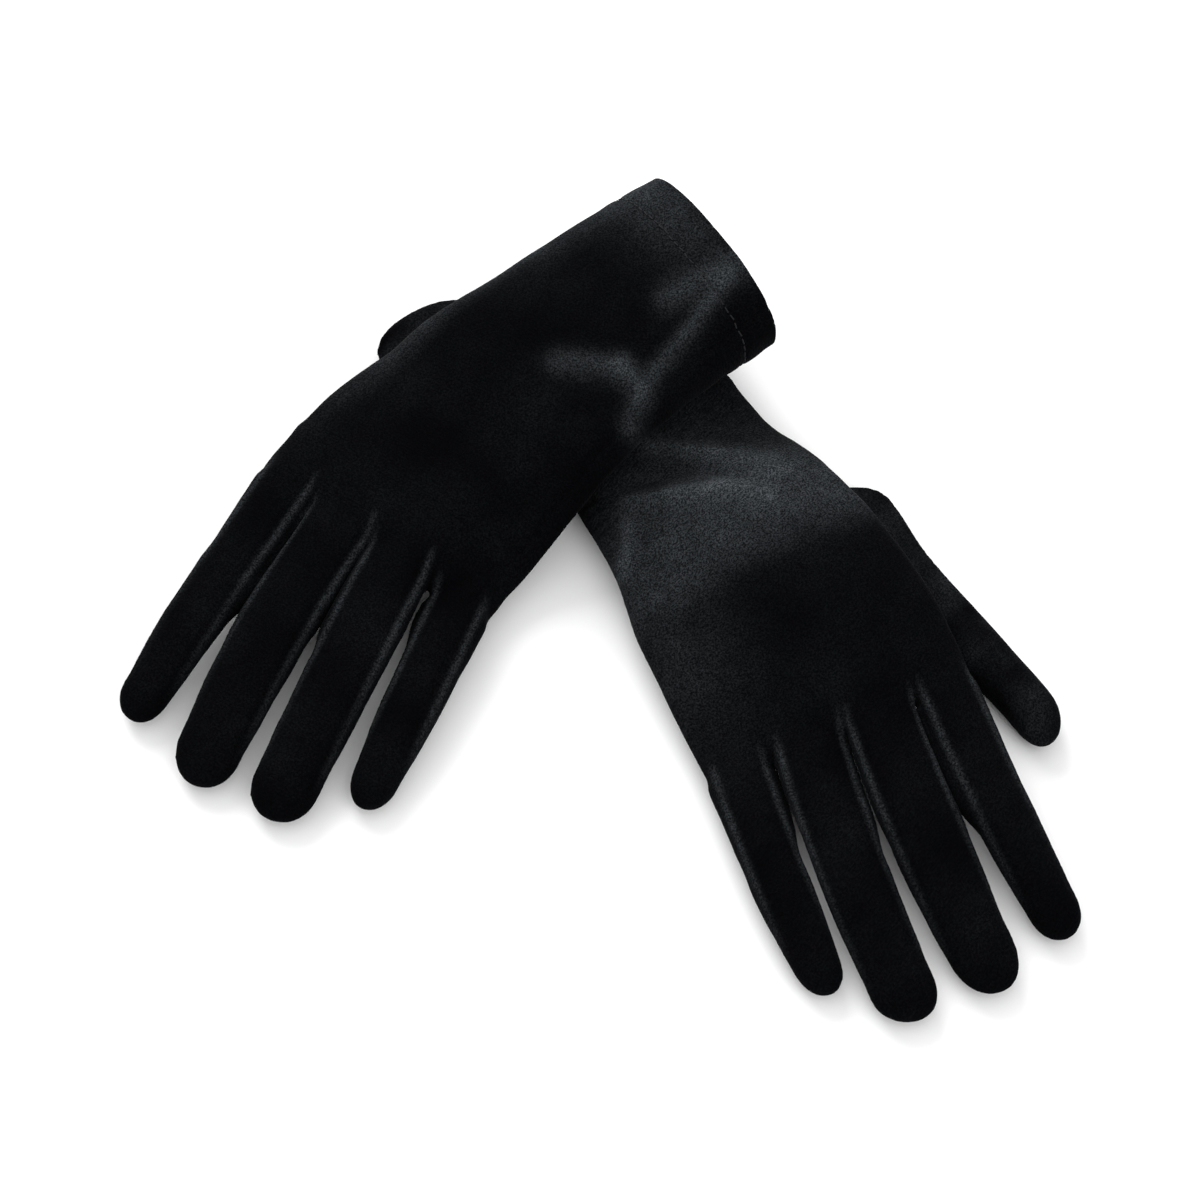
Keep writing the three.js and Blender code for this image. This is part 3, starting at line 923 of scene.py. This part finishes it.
def thread_material():
    """Black cotton thread, twisted, a little smoother than the pile."""
    material, tree = new_material("black sewing thread")
    shader = tree.nodes["Principled BSDF"]
    place = node(tree, "ShaderNodeTexCoord").outputs["Object"]
    twist = node(tree, "ShaderNodeTexWave", {"Vector": place, "Scale": THREAD_TWIST})
    tone = colour_mix(tree, twist.outputs["Fac"], THREAD_DARK, THREAD_PALE)
    tree.links.new(tone, shader.inputs["Base Color"])
    shader.inputs["Roughness"].default_value = THREAD_ROUGHNESS
    shader.inputs["Specular IOR Level"].default_value = THREAD_SHINE
    return material


def dress(obj, material):
    obj.data.materials.clear()
    obj.data.materials.append(material)
    only(obj)
    bpy.ops.object.shade_smooth()


# ---------------------------------------------------------------- parting the skin into its pieces


def split_off(obj, chosen, name):
    """Separates the chosen faces into a piece of their own."""
    only(obj)
    bpy.ops.object.mode_set(mode="EDIT")
    bpy.ops.mesh.select_mode(type="FACE")
    bpy.ops.mesh.select_all(action="DESELECT")
    bpy.ops.object.mode_set(mode="OBJECT")
    obj.data.polygons.foreach_set("select", chosen)
    bpy.ops.object.mode_set(mode="EDIT")
    bpy.ops.mesh.separate(type="SELECTED")
    bpy.ops.object.mode_set(mode="OBJECT")
    piece = [other for other in bpy.context.selected_objects if other is not obj][0]
    give_name(piece, name)
    return piece


def face_centres(obj):
    centres = np.empty(len(obj.data.polygons) * 3)
    obj.data.polygons.foreach_get("center", centres)
    return centres.reshape(-1, 3)


def part_glove(obj, side_name):
    """Parts the fingers from the hand at their knuckles."""
    pieces = {}
    for index, finger in enumerate(FINGER_NAMES):
        centres = face_centres(obj)
        owner, distance = nearest_finger(centres, side_name)
        along, _ = finger_places(centres, side_name, finger)
        chosen = (along > 0) & (owner == index) & (distance[index] < FINGER_REACH)
        pieces[finger] = split_off(obj, chosen, f"{side_name}_{finger}_finger_velvet")
    return pieces


def keep_normals(obj):
    """Fixes the skin's shading before it is parted, so that no cut shows."""
    shading = normals(obj)
    obj.data.normals_split_custom_set_from_vertices([tuple(n) for n in shading])


def finish_hem(body, side_name, pattern, velvet):
    """Thickens the hand's cloth, and makes the turned-in hem and its stitches."""
    hem = turned_in_hem(body, side_name, pattern)
    stitches = hem_stitches(body, side_name, pattern)
    apply_modifier(body, "SOLIDIFY", thickness=CLOTH, offset=-1)
    add_painted_sheen(body, side_name, pattern)
    add_painted_sheen(hem, side_name, pattern)
    dress(hem, velvet)
    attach(hem, f"{side_name}_hand")
    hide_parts(f"{side_name}_hem")
    dress(stitches, THREAD)
    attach(stitches, f"{side_name}_hand")


def finish_fingers(body, side_name):
    """Parts the fingers off at their knuckles."""
    for finger, piece in part_glove(body, side_name).items():
        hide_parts(*[n for n in frame["nodes"] if n.startswith(f"{side_name}_{finger}_")])
        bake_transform(piece)


def make_thumb(side_name, velvet):
    thumb = skin([thumb_form(side_name, GLOVES[side_name])], f"{side_name}_thumb_velvet")
    store_painted_sheen(thumb, uneven_painted_sheen(points(thumb), *THUMB_PAINTED_SHEEN, THUMB_SHEEN_SEED))
    dress(thumb, velvet)
    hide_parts(f"{side_name}_thumb")
    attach(thumb, f"{side_name}_thumb")


def make_glove(side_name):
    pattern = Pattern(GLOVES[side_name])
    forms = [hand_form(side_name, pattern)] + [finger_form(side_name, finger) for finger in FINGER_NAMES]
    velvet = velvet_material(
        f"{side_name} glove black stretch velvet", GLOVES[side_name]["heading"] + 90
    )
    body = skin(forms, f"{side_name}_hand_velvet")
    press_fingers(body, side_name)
    shape_skin(body, side_name, pattern)
    cut_square(body, pattern, 0.0, True)
    finish_hem(body, side_name, pattern, velvet)
    dress(body, velvet)
    keep_normals(body)
    finish_fingers(body, side_name)
    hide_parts(f"{side_name}_back", f"{side_name}_palm")
    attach(body, f"{side_name}_hand")
    make_thumb(side_name, velvet)


THREAD = thread_material()
for each in GLOVES:
    make_glove(each)

# ---------------------------------------------------------------- the stage

FLOOR_SIZE = 8
FLOOR_DROP = 0.0002  # the floor lies just under the gloves
PAPER = "#F4F4F4"
PAPER_ROUGHNESS = 0.9

bpy.ops.object.select_all(action="DESELECT")
bpy.ops.mesh.primitive_plane_add(size=FLOOR_SIZE, location=(0, 0, -FLOOR_DROP))
floor = bpy.context.active_object
floor.name = "studio_floor"
paper, paper_tree = new_material("white studio paper")
paper_shader = paper_tree.nodes["Principled BSDF"]
paper_shader.inputs["Base Color"].default_value = hex_colour(PAPER)
paper_shader.inputs["Roughness"].default_value = PAPER_ROUGHNESS
floor.data.materials.append(paper)

scene = bpy.context.scene
world = bpy.data.worlds.new("studio")
scene.world = world
world.use_nodes = True
sky = world.node_tree.nodes["Background"]
sky.inputs["Color"].default_value = (1, 1, 1, 1)
sky.inputs["Strength"].default_value = 1.0
scene.view_settings.view_transform = "Standard"


def soft_light(name, place, size, power):
    """A square softbox that faces the middle of the pair."""
    light = bpy.data.lights.new(name, "AREA")
    light.shape = "SQUARE"
    light.size = size
    light.energy = power
    obj = bpy.data.objects.new(name, light)
    scene.collection.objects.link(obj)
    obj.location = place
    obj.rotation_euler = (-Vector(place)).to_track_quat("-Z", "Y").to_euler()


soft_light("back_softbox", (-0.5, 1.1, 0.9), 0.9, 16)
soft_light("front_fill", (0.7, -0.9, 1.3), 1.2, 7)

# The camera looks down at the pair from the fingertips' side.
ELEVATION = math.radians(60)
DISTANCE = 1.2
AIM = Vector((-0.0001, 0.0081, 0.0))
VIEW_WIDTH = 0.354  # width that the camera takes in at its aim, in metres
FILM_WIDTH = 36  # in mm
camera_data = bpy.data.cameras.new("camera")
camera_data.sensor_width = FILM_WIDTH
camera_data.lens = FILM_WIDTH * DISTANCE / VIEW_WIDTH
camera = bpy.data.objects.new("camera", camera_data)
camera.location = AIM + DISTANCE * Vector((0, -math.cos(ELEVATION), math.sin(ELEVATION)))
camera.rotation_euler = (math.pi / 2 - ELEVATION, 0, 0)
scene.collection.objects.link(camera)
scene.camera = camera
